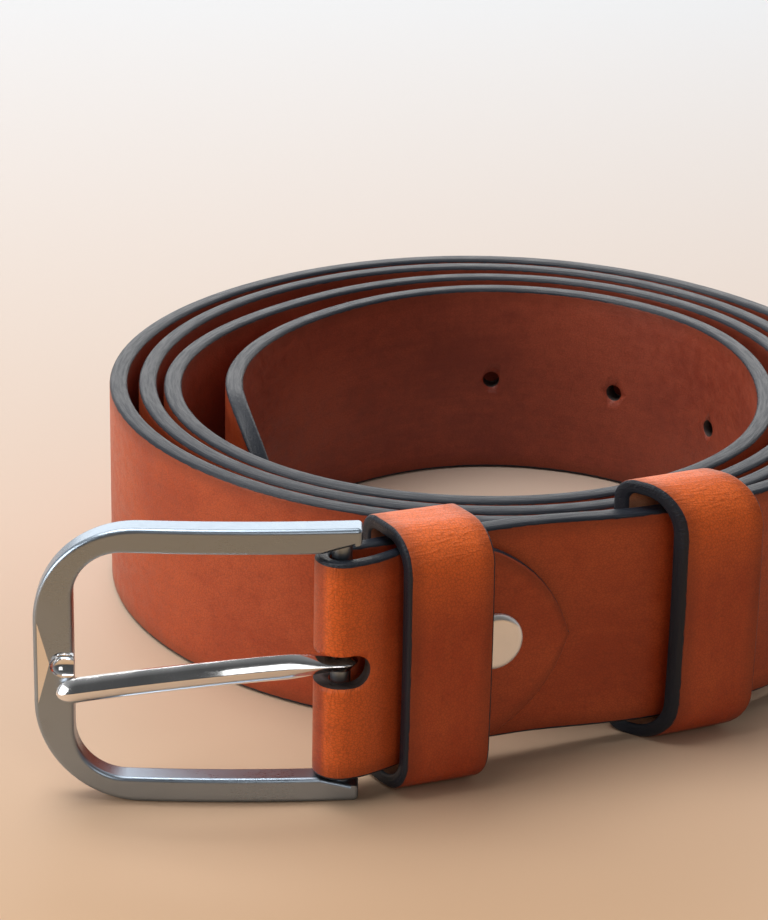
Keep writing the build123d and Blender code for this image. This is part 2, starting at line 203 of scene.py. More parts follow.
def lay_radius(angle):
    """Centre-line radius at any wound angle, smooth through the stations."""
    if angle <= last_angle + leave_angle - round_from:
        return leave_radius
    place = (180.0 - angle) / station_step
    index = math.floor(place)
    share = place - index

    def value(number):
        return stations[max(0, min(len(stations) - 1, number))][1]

    before, here, there, after = (value(index + step) for step in (-1, 0, 1, 2))
    slope_here = (there - before) / 2
    slope_there = (after - here) / 2
    square, cube = share ** 2, share ** 3
    return (
        (2 * cube - 3 * square + 1) * here
        + (cube - 2 * square + share) * slope_here
        + (3 * square - 2 * cube) * there
        + (cube - square) * slope_there
    )


def coil_point(angle):
    return coil_axis + circle_direction(angle) * lay_radius(angle)


def at(u, n, z=0.0):
    """Point by its distance along the straight end, in front of the bar axis, and up."""
    return bar_axis + along * u + front * n + UP * z


def lift_at(before_leaving):
    """Height of the belt's lower edge, by length of belt before it leaves the coil."""
    level = lift_at_keeper * smooth_step((rise_end + rise_length - before_leaving) / rise_length)
    second = smooth_step((-before_leaving - second_rise_start) / second_rise_length)
    return level + (lift_at_buckle - lift_at_keeper) * second


def pointed_half_width(from_point, length):
    """Half width of a pointed arch at this distance from its point."""
    half = belt_width / 2
    run = length - from_point
    if run <= 0:
        return half
    radius = (length ** 2 + half ** 2) / (2 * half)
    return half - (radius - math.sqrt(max(0.0, radius ** 2 - run ** 2)))


class Station:
    """One cross-section of a band: where it is, how it is turned and how big it is."""

    def __init__(self, centre, wide, out, half_width, thickness, length, bend=0.0):
        self.centre = centre
        self.wide = wide
        self.out = out
        self.half_width = half_width
        self.thickness = thickness
        self.length = length
        self.bend = bend


def bezier(points, share):
    a, b, c, d = points
    rest = 1 - share
    return (
        a * rest ** 3 + b * 3 * rest ** 2 * share + c * 3 * rest * share ** 2 + d * share ** 3
    )


def strap_path():
    """Centre line of the whole belt: plan point, lower edge's lift and thickness."""
    path = []
    coil_step = 2.5
    angle = tip_angle
    while angle > last_angle:
        before = math.radians(angle - last_angle) * leave_radius
        path.append((coil_point(angle), lift_at(before), leather_thickness))
        angle -= coil_step
    steps = 22
    centre_n = -fold_inner_radius - half_leather
    for step in range(steps + 1):
        u = straight_length + (taper_length - straight_length) * step / steps
        path.append((at(u, centre_n), lift_at(u - straight_length), leather_thickness))
    fold_n = fold_inner_radius + fold_thickness / 2
    steps = 8
    for step in range(1, steps + 1):
        share = step / steps
        n = centre_n + (-fold_n - centre_n) * smooth_step(share)
        thickness = leather_thickness + (fold_thickness - leather_thickness) * smooth_step(share)
        path.append((at(taper_length * (1 - share), n), lift_at_buckle, thickness))
    steps = 14
    for step in range(1, steps + 1):
        turn = math.pi * step / steps
        path.append(
            (at(-fold_n * math.sin(turn), -fold_n * math.cos(turn)), lift_at_buckle, fold_thickness)
        )
    tab_n = tab_face - tab_thickness / 2
    handle = tab_settle / 2.4
    corners = (at(0, fold_n), at(handle, fold_n), at(tab_settle - handle, tab_n), at(tab_settle, tab_n))
    steps = 12
    for step in range(1, steps + 1):
        share = step / steps
        thickness = fold_thickness + (tab_thickness - fold_thickness) * share
        path.append((bezier(corners, share), lift_at_buckle, thickness))
    steps = 14
    for step in range(1, steps + 1):
        u = tab_settle + (tab_length - tab_settle) * math.sin(math.pi / 2 * step / steps)
        path.append((at(u, tab_n), lift_at_buckle, tab_thickness))
    return path


def refine_tip(path):
    """Closer stations over the loose end's point, so that its outline is round."""
    start = path[0][0]
    refined = []
    for number in range(len(path) - 1):
        point, lift, thickness = path[number]
        refined.append(path[number])
        if (point - start).length < tip_point_length + 3 and number < 16:
            nearest = path[number + 1]
            pieces = 6 if number < 2 else 3
            for step in range(1, pieces):
                share = step / pieces
                refined.append((point.lerp(nearest[0], share), lift, thickness))
    refined.append(path[-1])
    return refined


def strap_stations():
    path = refine_tip(strap_path())
    lengths = [0.0]
    for number in range(1, len(path)):
        lengths.append(lengths[-1] + (path[number][0] - path[number - 1][0]).length)
    whole = lengths[-1]
    result = []
    for number, (point, lift, thickness) in enumerate(path):
        before = path[max(0, number - 1)][0]
        after = path[min(len(path) - 1, number + 1)][0]
        direction = (after - before).normalized()
        out = Vector((-direction.y, direction.x, 0))
        half = belt_width / 2
        drop = 0.0
        from_point = whole - lengths[number]
        if lengths[number] < tip_point_length:
            half = pointed_half_width(lengths[number], tip_point_length)
        if from_point < tab_point_length + tab_drop_run:
            half = pointed_half_width(from_point, tab_point_length)
            if thickness <= tab_thickness:
                past = (tab_point_length + tab_drop_run - from_point) / tab_drop_run
                drop = tab_drop * smooth_step(past)
        half = max(half, blunt_point)
        centre = point + UP * (lift + belt_width / 2 - drop)
        from_bar = (point - bar_axis).dot(along)
        folded = 1.0 if from_point < tab_length + 2 * fold_inner_radius else 0.0
        # the fold's nose: really bent, and given a painted highlight where the light from the left
        # falls on it
        bend = folded * smooth_step((fold_bend_and_highlight_end - from_bar) / fold_bend_and_highlight_run)
        result.append(Station(centre, UP, out, half, thickness, lengths[number], bend))
    return result, whole


# ---------------------------------------------------------------- meshes
def section(half_width, thickness, rounding):
    """Outline of a band's cross-section: (across, through), once round."""
    radius = min(rounding, thickness / 2 * 0.96, half_width * 0.9)
    straight = half_width - radius
    outline = []
    corner_steps = 6
    across_steps = 10
    for side in (1, -1):
        for step in range(across_steps + 1):
            across = side * straight * (-1 + 2 * step / across_steps)
            outline.append((across, side * thickness / 2))
        for step in range(1, corner_steps):
            turn = math.pi / 2 * step / corner_steps
            outline.append(
                (
                    side * (straight + radius * math.sin(turn)),
                    side * (thickness / 2 - radius * (1 - math.cos(turn))),
                )
            )
        for step in range(corner_steps):
            turn = math.pi / 2 * (1 - step / corner_steps)
            outline.append(
                (
                    side * (straight + radius * math.sin(turn)),
                    -side * (thickness / 2 - radius * (1 - math.cos(turn))),
                )
            )
    return outline


def band_mesh(name, bands, closed, rounding):
    """A leather band with rounded edges, and attributes that its material reads."""
    mesh = bpy.data.meshes.new(name)
    vertices = []
    belt = []
    edge = []
    bend = []
    rings = []
    for station in bands:
        ring = []
        for across, through in section(station.half_width, station.thickness, rounding):
            place = station.centre + station.wide * across + station.out * through
            ring.append(len(vertices))
            vertices.append(place * MM)
            side = max(-1.0, min(1.0, through / (station.thickness / 2)))
            belt.append((station.length, across, side))
            edge.append(station.half_width - abs(across))
            bend.append(station.bend)
        rings.append(ring)
    faces = []
    count = len(rings[0])
    pairs = list(zip(rings, rings[1:]))
    if closed:
        pairs.append((rings[-1], rings[0]))
    for first, second in pairs:
        for number in range(count):
            following = (number + 1) % count
            faces.append((first[number], first[following], second[following], second[number]))
    if not closed:
        faces.append(tuple(reversed(rings[0])))
        faces.append(tuple(rings[-1]))
    mesh.from_pydata([tuple(v) for v in vertices], [], faces)
    vector = mesh.attributes.new("belt", "FLOAT_VECTOR", "POINT")
    for number, value in enumerate(belt):
        vector.data[number].vector = value
    near = mesh.attributes.new("edge", "FLOAT", "POINT")
    for number, value in enumerate(edge):
        near.data[number].value = value
    bend_and_highlight_layer = mesh.attributes.new("bend", "FLOAT", "POINT")
    for number, value in enumerate(bend):
        bend_and_highlight_layer.data[number].value = value
    mesh.validate()
    fix_normals(mesh)
    return add_object(name, mesh)


def fix_normals(mesh):
    work = bmesh.new()
    work.from_mesh(mesh)
    bmesh.ops.recalc_face_normals(work, faces=work.faces)
    work.to_mesh(mesh)
    work.free()
    mesh.shade_smooth()


def add_object(name, mesh):
    made = bpy.data.objects.new(name, mesh)
    bpy.context.scene.collection.objects.link(made)
    return made


def cutter(name, outline, origin, x_dir, y_dir, depth):
    """A prism to cut with: outline in the plane of x_dir and y_dir, depth both ways."""
    z_dir = x_dir.cross(y_dir)
    mesh = bpy.data.meshes.new(name)
    work = bmesh.new()
    rings = []
    for end in (-depth, depth):
        rings.append(
            [work.verts.new((origin + x_dir * x + y_dir * y + z_dir * end) * MM) for x, y in outline]
        )
    count = len(outline)
    for number in range(count):
        following = (number + 1) % count
        work.faces.new((rings[0][number], rings[0][following], rings[1][following], rings[1][number]))
    work.faces.new(list(reversed(rings[0])))
    work.faces.new(rings[1])
    bmesh.ops.recalc_face_normals(work, faces=work.faces)
    work.to_mesh(mesh)
    work.free()
    return add_object(name, mesh)


def circle_outline(radius, steps=32):
    return [
        (radius * math.cos(2 * math.pi * step / steps), radius * math.sin(2 * math.pi * step / steps))
        for step in range(steps)
    ]


def slot_outline(length, width, steps=10):
    radius = width / 2
    straight = length / 2 - radius
    outline = []
    for side in (1, -1):
        for step in range(steps + 1):
            turn = -math.pi / 2 + math.pi * step / steps
            outline.append(
                (side * (straight + radius * math.cos(turn)), side * radius * math.sin(turn))
            )
    return outline


def attribute_values(mesh):
    """Each vertex's belt vector, edge distance and bend mask (which also carries a painted highlight),
    as five numbers.
    """
    belt = [tuple(item.vector) for item in mesh.attributes["belt"].data]
    edge = [item.value for item in mesh.attributes["edge"].data]
    bend = [item.value for item in mesh.attributes["bend"].data]
    return [(*b, e, d) for b, e, d in zip(belt, edge, bend)]


def restore_attributes(mesh, places, values):
    """Gives the new vertices round a cut what their nearest old neighbours had."""
    neighbours = 4
    same_place = 1e-7
    smallest_gap = 1e-6
    tree = KDTree(len(places))
    for number, place in enumerate(places):
        tree.insert(place, number)
    tree.balance()
    for number, vertex in enumerate(mesh.vertices):
        near = tree.find_n(vertex.co, neighbours)
        if near[0][2] < same_place:
            continue
        shares = [1 / (distance + smallest_gap) for _, _, distance in near]
        mixed = [
            sum(share * values[index][part] for share, (_, index, _) in zip(shares, near))
            / sum(shares)
            for part in range(len(values[0]))
        ]
        mesh.attributes["belt"].data[number].vector = mixed[:3]
        mesh.attributes["edge"].data[number].value = mixed[3]
        mesh.attributes["bend"].data[number].value = mixed[4]


def cut(target, tools, material):
    """Cuts each tool out of the target; the cut faces take the given material."""
    places = [vertex.co.copy() for vertex in target.data.vertices]
    values = attribute_values(target.data)
    target.data.materials.append(material)
    for tool in tools:
        tool.data.materials.clear()
        tool.data.materials.append(material)
        modifier = target.modifiers.new("cut", "BOOLEAN")
        modifier.operation = "DIFFERENCE"
        modifier.solver = "EXACT"
        modifier.material_mode = "TRANSFER"
        modifier.object = tool
        bpy.context.view_layer.update()
        evaluated = target.evaluated_get(bpy.context.evaluated_depsgraph_get())
        mesh = bpy.data.meshes.new_from_object(evaluated)
        target.modifiers.clear()
        target.data = mesh
        bpy.data.objects.remove(tool)
    restore_attributes(target.data, places, values)


# ---------------------------------------------------------------- material helpers
class Tree:
    """A material's node tree with short ways to add what these materials need."""

    def __init__(self, name):
        self.material = bpy.data.materials.new(name)
        self.material.use_nodes = True
        self.tree = self.material.node_tree
        self.shader = self.tree.nodes["Principled BSDF"]

    def link(self, output, target):
        self.tree.links.new(output, target)

    def put(self, target, value):
        if hasattr(value, "is_output"):
            self.link(value, target)
        else:
            target.default_value = value

    def attribute(self, name, output="Vector"):
        node = self.tree.nodes.new("ShaderNodeAttribute")
        node.attribute_name = name
        return node.outputs[output]

    def coordinates(self):
        return self.tree.nodes.new("ShaderNodeTexCoord").outputs["Object"]

    def scaled(self, vector, scale):
        node = self.tree.nodes.new("ShaderNodeVectorMath")
        node.operation = "MULTIPLY"
        self.put(node.inputs[0], vector)
        node.inputs[1].default_value = scale
        return node.outputs[0]

    def noise(self, vector, scale, detail=2.0, roughness=0.5, distortion=0.0):
        node = self.tree.nodes.new("ShaderNodeTexNoise")
        self.put(node.inputs["Vector"], vector)
        node.inputs["Scale"].default_value = scale
        node.inputs["Detail"].default_value = detail
        node.inputs["Roughness"].default_value = roughness
        node.inputs["Distortion"].default_value = distortion
        return node.outputs["Fac"]

    def cells(self, vector, scale, feature="DISTANCE_TO_EDGE"):
        node = self.tree.nodes.new("ShaderNodeTexVoronoi")
        node.feature = feature
        self.put(node.inputs["Vector"], vector)
        node.inputs["Scale"].default_value = scale
        return node.outputs["Distance"]

    def math(self, operation, first, second=0.0):
        node = self.tree.nodes.new("ShaderNodeMath")
        node.operation = operation
        self.put(node.inputs[0], first)
        self.put(node.inputs[1], second)
        return node.outputs[0]

    def between(self, value, low, high, to_low=0.0, to_high=1.0, smooth=True):
        node = self.tree.nodes.new("ShaderNodeMapRange")
        node.interpolation_type = "SMOOTHSTEP" if smooth else "LINEAR"
        self.put(node.inputs["Value"], value)
        node.inputs["From Min"].default_value = low
        node.inputs["From Max"].default_value = high
        node.inputs["To Min"].default_value = to_low
        node.inputs["To Max"].default_value = to_high
        return node.outputs["Result"]

    def mix(self, share, first, second):
        node = self.tree.nodes.new("ShaderNodeMix")
        node.data_type = "RGBA"
        self.put(node.inputs[0], share)
        self.put(node.inputs[6], first)
        self.put(node.inputs[7], second)
        return node.outputs[2]

    def bump(self, height, strength, distance, normal=None):
        node = self.tree.nodes.new("ShaderNodeBump")
        node.inputs["Strength"].default_value = strength
        node.inputs["Distance"].default_value = distance
        self.link(height, node.inputs["Height"])
        if normal is not None:
            self.link(normal, node.inputs["Normal"])
        return node.outputs["Normal"]

    def split(self, vector):
        node = self.tree.nodes.new("ShaderNodeSeparateXYZ")
        self.link(vector, node.inputs[0])
        return node.outputs

    def finish(self, colour, roughness, normal):
        self.put(self.shader.inputs["Base Color"], colour)
        self.put(self.shader.inputs["Roughness"], roughness)
        self.link(normal, self.shader.inputs["Normal"])
        return self.material


PAINT = (0.008, 0.012, 0.021, 1)
PAINT_WORN = (0.042, 0.050, 0.064, 1)
# orange of bent waxed leather, also used as a painted highlight on the fold's nose and the keepers'
# tops
BENT_AND_HIGHLIT_ORANGE = (0.80, 0.150, 0.024, 1)
DARK_TAN = (0.12, 0.022, 0.007, 1)


def leather_material(
    name, front, front_light, back, back_light, paint_reach, wear, fold_from=None, bare_from=None
):
    """Tan leather with fine grain, burnished borders and painted edges.

    Past fold_from, in millimetres from the loose end, both sides have the front's colours,
    and past bare_from the paint stays on the edge itself. Wear is how far the paint's worn
    strands lighten it.

    The belt attribute gives millimetres along and across the band and which side it is.
    """
    t = Tree(name)
    belt = t.attribute("belt")
    parts = t.split(belt)
    edge = t.attribute("edge", "Fac")
    flat = t.scaled(belt, (1.0, 1.0, 40.0))
    cloud = t.noise(flat, 0.055, 3, 0.55)
    mottle = t.noise(flat, 0.45, 4, 0.6)
    streak = t.noise(t.scaled(belt, (0.10, 1.2, 40.0)), 0.8, 3, 0.6)
    tone = t.math("ADD", t.math("MULTIPLY", cloud, 0.55), t.math("MULTIPLY", mottle, 0.30))
    tone = t.math("ADD", tone, t.math("MULTIPLY", streak, 0.15))
    tone = t.between(tone, 0.34, 0.66)
    side = t.between(parts[2], -0.2, 0.2)
    if fold_from is not None:
        side = t.math("MAXIMUM", side, t.between(parts[0], fold_from, fold_from + 4.0))
    front_tone = t.mix(tone, front, front_light)
    back_tone = t.mix(tone, back, back_light)
    leather = t.mix(side, back_tone, front_tone)
    # waxed leather turns bright orange where it is bent, and the same orange paints a highlight where
    # light falls on the fold's nose and the keepers' upper bends
    bend_and_highlight_front = t.math("MULTIPLY", t.attribute("bend", "Fac"), side)
    patchy_bend_and_highlight = t.math("MULTIPLY", bend_and_highlight_front, t.between(cloud, 0.30, 0.62, 0.55, 0.95))
    leather = t.mix(patchy_bend_and_highlight, leather, BENT_AND_HIGHLIT_ORANGE)
    # fine pebbled grain, darker in its creases
    grain = t.cells(t.scaled(belt, (1.0, 1.25, 40.0)), 1.9)
    crease = t.between(grain, 0.0, 0.16)
    leather = t.mix(t.between(crease, 0.0, 1.0, 0.30, 0.0), leather, DARK_TAN)
    # pores: small dark dots, unevenly spread
    pores = t.cells(flat, 1.1, "F1")
    pore_mask = t.between(pores, 0.05, 0.12, 1.0, 0.0)
    spread = t.between(t.noise(flat, 0.25), 0.48, 0.62)
    pore_mask = t.math("MULTIPLY", pore_mask, spread)
    leather = t.mix(t.math("MULTIPLY", pore_mask, 0.35), leather, (0.05, 0.018, 0.008, 1))
    # the border next to the paint is burnished darker
    border = t.between(edge, paint_reach, paint_reach + 3.0, 0.42, 0.0)
    leather = t.mix(border, leather, DARK_TAN)
    # paint
    wobble = t.noise(t.scaled(belt, (0.6, 0.0, 30.0)), 1.0, 3, 0.6)
    reach = t.math("ADD", t.math("MULTIPLY", wobble, 0.45), paint_reach - 0.22)
    if bare_from is not None:
        bare = t.between(parts[0], bare_from, bare_from + 5.0, 1.0, 0.40)
        reach = t.math("MULTIPLY", reach, bare)
    painted = t.math("SUBTRACT", reach, edge)
    painted = t.between(painted, -0.05, 0.05)
    strands = t.noise(t.scaled(belt, (0.12, 3.0, 2.2)), 1.6, 4, 0.65)
    worn = t.between(strands, 0.52, 0.75)
    paint = t.mix(t.math("MULTIPLY", worn, wear), PAINT, PAINT_WORN)
    colour = t.mix(painted, leather, paint)
    rough_leather = t.between(mottle, 0.35, 0.65, 0.40, 0.52)
    rough_paint = t.between(strands, 0.4, 0.7, 0.40, 0.60)
    roughness = t.math(
        "ADD",
        t.math("MULTIPLY", painted, rough_paint),
        t.math("MULTIPLY", t.math("SUBTRACT", 1.0, painted), rough_leather),
    )
    unpainted = t.math("SUBTRACT", 1.0, painted)
    relief = t.math("MULTIPLY", crease, unpainted)
    relief = t.math("SUBTRACT", relief, t.math("MULTIPLY", pore_mask, 0.8))
    crinkle = t.noise(t.scaled(belt, (1.5, 0.22, 1.0)), 1.3, 3, 0.6, 0.6)
    crinkle = t.math("MULTIPLY", t.between(crinkle, 0.45, 0.62), bend_and_highlight_front)
    normal = t.bump(relief, 0.16, 0.00010)
    normal = t.bump(crinkle, 0.35, 0.00020, normal)
    fibres = t.math("MULTIPLY", strands, painted)
    normal = t.bump(fibres, 0.55, 0.00022, normal)
    normal = t.bump(t.math("MULTIPLY", mottle, unpainted), 0.25, 0.00025, normal)
    normal = t.bump(painted, 0.5, 0.00008, normal)
    t.shader.inputs["Specular IOR Level"].default_value = 0.30
    t.shader.inputs["Coat Weight"].default_value = 0.10
    t.shader.inputs["Coat Roughness"].default_value = 0.30
    return t.finish(colour, roughness, normal)


def cut_leather_material():
    """The dark, painted wall of a punched hole or slot."""
    t = Tree("cut_leather")
    place = t.coordinates()
    fibre = t.noise(place, 2500, 3, 0.6)
    colour = t.mix(fibre, (0.012, 0.010, 0.012, 1), (0.045, 0.022, 0.015, 1))
    return t.finish(colour, 0.75, t.bump(fibre, 0.4, 0.0002))


def satin_material():
    """Satin nickel plate: fine brushed lines and faint smudges."""
    t = Tree("satin_nickel")
    place = t.coordinates()
    lines = t.noise(t.scaled(place, (0.35, 2.0, 6.0)), 2600, 3, 0.7)
    smudge = t.noise(place, 90, 3, 0.55)
    colour = t.mix(smudge, (0.28, 0.345, 0.42, 1), (0.35, 0.415, 0.49, 1))
    roughness = t.math(
        "ADD", t.between(lines, 0.3, 0.7, 0.26, 0.36), t.between(smudge, 0.3, 0.7, -0.03, 0.05)
    )
    normal = t.bump(lines, 0.12, 0.00003)
    t.shader.inputs["Metallic"].default_value = 1.0
    return t.finish(colour, roughness, normal)


def polished_material(name, metallic):
    """Polished nickel with faint casting waviness and hairline scratches."""
    t = Tree(name)
    place = t.coordinates()
    wave = t.noise(place, 260, 2, 0.5)
    hair = t.noise(t.scaled(place, (1.0, 7.0, 16.0)), 1500, 2, 0.8)
    colour = t.mix(wave, (0.84, 0.86, 0.88, 1), (0.93, 0.94, 0.95, 1))
    roughness = t.math(
        "ADD", t.between(hair, 0.55, 0.75, 0.10, 0.20), t.between(wave, 0.3, 0.7, 0.0, 0.05)
    )
    normal = t.bump(wave, 0.10, 0.0002)
    t.shader.inputs["Metallic"].default_value = metallic
    return t.finish(colour, roughness, normal)


def wire_material():
    """Drawn steel wire, a little tarnished."""
    t = Tree("staple_wire")
    place = t.coordinates()
    drawn = t.noise(t.scaled(place, (5.0, 5.0, 0.6)), 2200, 2, 0.6)
    tarnish = t.noise(place, 600, 3, 0.6)
    colour = t.mix(t.between(tarnish, 0.4, 0.7), (0.42, 0.42, 0.41, 1), (0.22, 0.20, 0.18, 1))
    t.shader.inputs["Metallic"].default_value = 1.0
    return t.finish(colour, t.between(drawn, 0.3, 0.7, 0.24, 0.42), t.bump(drawn, 0.2, 0.00004))


def table_material():
    """A pale table, warm peach in front and near white behind: the paler back is painted light from the
    bright wall behind.
    """
    t = Tree("table")
    place = t.coordinates()
    depth = t.split(place)[1]
    # painted light: the table turns paler towards the bright back
    painted_back_light = t.between(depth, -0.16, 0.42, smooth=False)
    colour = t.mix(painted_back_light, (0.52, 0.312, 0.160, 1), (0.64, 0.66, 0.69, 1))
    grain = t.noise(place, 900, 2, 0.5)
    return t.finish(colour, 0.6, t.bump(grain, 0.03, 0.0001))


strap_bands, strap_length = strap_stations()
fold_run = tab_length + math.pi * fold_inner_radius + taper_length / 2
strap_leather = leather_material(
    "strap_leather",
    (0.37, 0.050, 0.012, 1),
    (0.50, 0.088, 0.024, 1),
    (0.19, 0.032, 0.018, 1),
    (0.30, 0.058, 0.028, 1),
    0.55,
    0.50,
    strap_length - fold_run,
    strap_length - tab_point_length - 9.0,
)
keeper_leather = leather_material(
    "keeper_leather",
    (0.38, 0.048, 0.010, 1),
    (0.50, 0.085, 0.020, 1),
    (0.50, 0.22, 0.12, 1),
    (0.62, 0.32, 0.18, 1),
    0.40,
    0.12,
)
cut_leather = cut_leather_material()
satin = satin_material()
polished = polished_material("polished_nickel", 1.0)
screw_nickel = polished_material("screw_nickel", 0.70)
wire = wire_material()
table_top = table_material()


# ---------------------------------------------------------------- strap
def make_strap():
    """The leather strap with its punched holes and the prong's slot."""
    strap = band_mesh("strap_band", strap_bands, False, strap_edge_rounding)
    strap.data.materials.append(strap_leather)
    tools = []
    distance = 0.0
    angle = tip_angle
    wanted = [first_hole_from_tip + number * hole_pitch for number in range(hole_count)]
    step = 0.5
    while wanted:
        distance += (coil_point(angle - step) - coil_point(angle)).length
        angle -= step
        if distance >= wanted[0]:
            wanted.pop(0)
            out = circle_direction(angle)
            middle = coil_point(angle) + UP * belt_width / 2
            outline = circle_outline(hole_diameter / 2)
            tools.append(
                cutter("punch", outline, middle, UP, out.cross(UP), leather_thickness * 0.8)
            )
    slot_length = fold_inner_radius + fold_thickness + fold_slot_reach + 2
    middle = at(fold_slot_reach - slot_length / 2, 0, mid_height)
    outline = slot_outline(slot_length, fold_slot_width)
    tools.append(cutter("slot", outline, middle, along, UP, 6.0))
    cut(strap, tools, cut_leather)
    strap.data.shade_smooth()
    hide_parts("strap")
    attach(strap, "belt")


# ---------------------------------------------------------------- keepers
def loop_path(depth, height, back_radius, front_radius, per_corner=10, per_wall=16):
    """Points and outward normals once round a rounded rectangle, from its back's upper end."""
    half_depth, half_height = depth / 2, height / 2
    corners = (
        (-half_depth, half_height, back_radius, 180.0),
        (half_depth, half_height, front_radius, 90.0),
        (half_depth, -half_height, front_radius, 0.0),
        (-half_depth, -half_height, back_radius, -90.0),
    )
    path = []
    arcs = []
    for x, z, radius, start in corners:
        centre = (x - math.copysign(radius, x), z - math.copysign(radius, z))
        arc = []
        for step in range(per_corner + 1):
            turn = math.radians(start - 90.0 * step / per_corner)
            normal = (math.cos(turn), math.sin(turn))
            arc.append(((centre[0] + radius * normal[0], centre[1] + radius * normal[1]), normal))
        arcs.append(arc)
    for number, arc in enumerate(arcs):
        path += arc
        start, normal = arc[-1]
        end = arcs[(number + 1) % 4][0][0]
        for step in range(1, per_wall):
            share = step / per_wall
            between = (start[0] + (end[0] - start[0]) * share, start[1] + (end[1] - start[1]) * share)
            path.append((between, normal))
    return path


def make_keeper(
    name, node, body, origin, run, out, inner_back, inner_front, skew_degrees, foot, top_radius
):
    """A skewed leather loop; its end faces lie in the plane of the skew."""
    skew = math.radians(skew_degrees)
    across = out * math.cos(skew) + run * math.sin(skew)
    stretch = 1 / math.cos(skew)
    outer_depth = (inner_front - inner_back + 2 * keeper_thickness) * stretch
    depth = outer_depth - keeper_thickness * stretch
    height = keeper_height - keeper_thickness
    half = keeper_thickness / 2
    start = origin + out * (inner_back - keeper_thickness)
    middle = start + across * outer_depth / 2 + UP * (foot + keeper_height / 2)
    middle = middle + run * keeper_width / 2
    bands = []
    length = 0.0
    previous = None
    for (a, z), (na, nz) in loop_path(
        depth, height, keeper_back_radius - half, top_radius - half
    ):
        swell = keeper_bulge * (1 - (2 * z / height) ** 2) * max(0.0, na)
        centre = middle + across * (a + swell) + UP * z
        if previous is not None:
            length += (centre - previous).length
        previous = centre
        normal = across * (na * stretch) + UP * nz
        top = keeper_height - keeper_front_radius
        from_top = z + keeper_height / 2 - top
        # the keeper's upper bend: really bent, and given a painted highlight where light from above
        # falls on it
        bend = smooth_step((from_top + keeper_bend_and_highlight_start) / keeper_bend_and_highlight_run)
        bands.append(
            Station(centre, run, normal, keeper_width / 2, keeper_thickness, length, bend)
        )
    keeper = band_mesh(name, bands, True, keeper_edge_rounding)
    keeper.data.materials.append(keeper_leather)
    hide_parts(node)
    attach(keeper, body)


def make_keepers():
    inner_back = -fold_inner_radius - leather_thickness - keeper_air
    make_keeper(
        "fixed_keeper_loop", "fixed_keeper", "belt", at(fixed_keeper_start, 0), along, front,
        inner_back, fixed_keeper_front, fixed_keeper_skew, fixed_keeper_foot,
        keeper_front_radius + fixed_keeper_rounder,
    )
    out = circle_direction(-sliding_keeper_angle)
    run = circle_direction(90 - sliding_keeper_angle)
    reach = half_leather + keeper_air + keeper_width ** 2 / (8 * leave_radius)
    skew_shift = math.tan(math.radians(sliding_keeper_skew)) * (2 * reach + keeper_slack)
    origin = coil_axis + out * leave_radius - run * (keeper_width + skew_shift) / 2
    make_keeper(
        "sliding_keeper_loop", "sliding_keeper", "sliding_keeper", origin, run, out,
        -reach, reach + keeper_slack, sliding_keeper_skew, 0.0,
        keeper_front_radius + sliding_keeper_rounder,
    )


# ---------------------------------------------------------------- prong
swing = math.radians(frame_swing_at_rest)
frame_out = along * -math.cos(swing) - front * math.sin(swing)
frame_front = front * math.cos(swing) - along * math.sin(swing)


def frame_at(x, q, z=0.0):
    return bar_axis + frame_out * x + frame_front * q + UP * z


def bow_at(x):
    share = (x + lug_extension) / (frame_length + lug_extension)
    return 4 * frame_bow * share * (1 - share)


def prong_outline(width, thickness):
    """Roof-shaped section with softened corners: (out of the face, up)."""
    corners = (
        (-0.50, -0.34), (-0.30, -0.46), (-0.05, -0.50), (0.20, -0.36), (0.45, -0.06),
        (0.50, 0.05), (0.44, 0.15), (0.20, 0.37), (-0.05, 0.50), (-0.30, 0.46), (-0.50, 0.34),
    )
    return [(a * thickness, b * width) for a, b in corners]


def make_prong():
    """A roof-shaped rod that is curled round the bar, leaves its front and sags to the tip."""
    root_q = eye_radius - prong_thickness / 2
    tip_q = bow_at(prong_reach) + frame_depth / 2 + prong_face_gap + prong_thickness * 0.4
    eye_middle = bar_axis + UP * (mid_height + prong_root_raise)
    mesh = bpy.data.meshes.new("prong_shank")
    work = bmesh.new()
    rings = []
    curl_steps = 36
    for step in range(curl_steps):
        turn = prong_curl * (1 - step / curl_steps)
        out = frame_front * math.cos(turn) - frame_out * math.sin(turn)
        rings.append(
            [
                work.verts.new((eye_middle + out * max(root_q + a, bore_radius) + UP * b) * MM)
                for a, b in prong_outline(prong_root_width, prong_thickness)
            ]
        )
    steps = 60
    for step in range(steps + 1):
        share = math.sin(math.pi / 2 * step / steps)
        x = share * prong_reach
        q = root_q + (tip_q - root_q) * share + prong_arch * math.sin(math.pi * share)
        raised = prong_root_raise + prong_hump * math.sin(math.pi * share)
        z = mid_height + raised - prong_droop * share ** prong_sag_power
        widening = smooth_step(share / prong_full_from)
        width = prong_root_width + (prong_width - prong_root_width) * widening
        rounding = max(0.0, (share - prong_round_from) / (1 - prong_round_from))
        narrow = math.sqrt(max(0.0, 1 - 0.96 * rounding ** 2))
        clear_of_bar = math.sqrt(max(0.0, bore_radius ** 2 - x ** 2))
        rings.append(
            [
                work.verts.new(frame_at(x, max(q + a * narrow, clear_of_bar), z + b * narrow) * MM)
                for a, b in prong_outline(width, prong_thickness)
            ]
        )
    count = len(rings[0])
    for first, second in zip(rings, rings[1:]):
        for number in range(count):
            following = (number + 1) % count
            work.faces.new((first[number], first[following], second[following], second[number]))
    work.faces.new(list(reversed(rings[0])))
    work.faces.new(rings[-1])
    bmesh.ops.recalc_face_normals(work, faces=work.faces)
    work.to_mesh(mesh)
    work.free()
    mesh.shade_smooth()
    shank = add_object("prong_shank", mesh)
    shank.data.materials.append(polished)
    bevel_sharp(shank, 0.12, 24)
    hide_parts("prong")
    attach(shank, "prong")


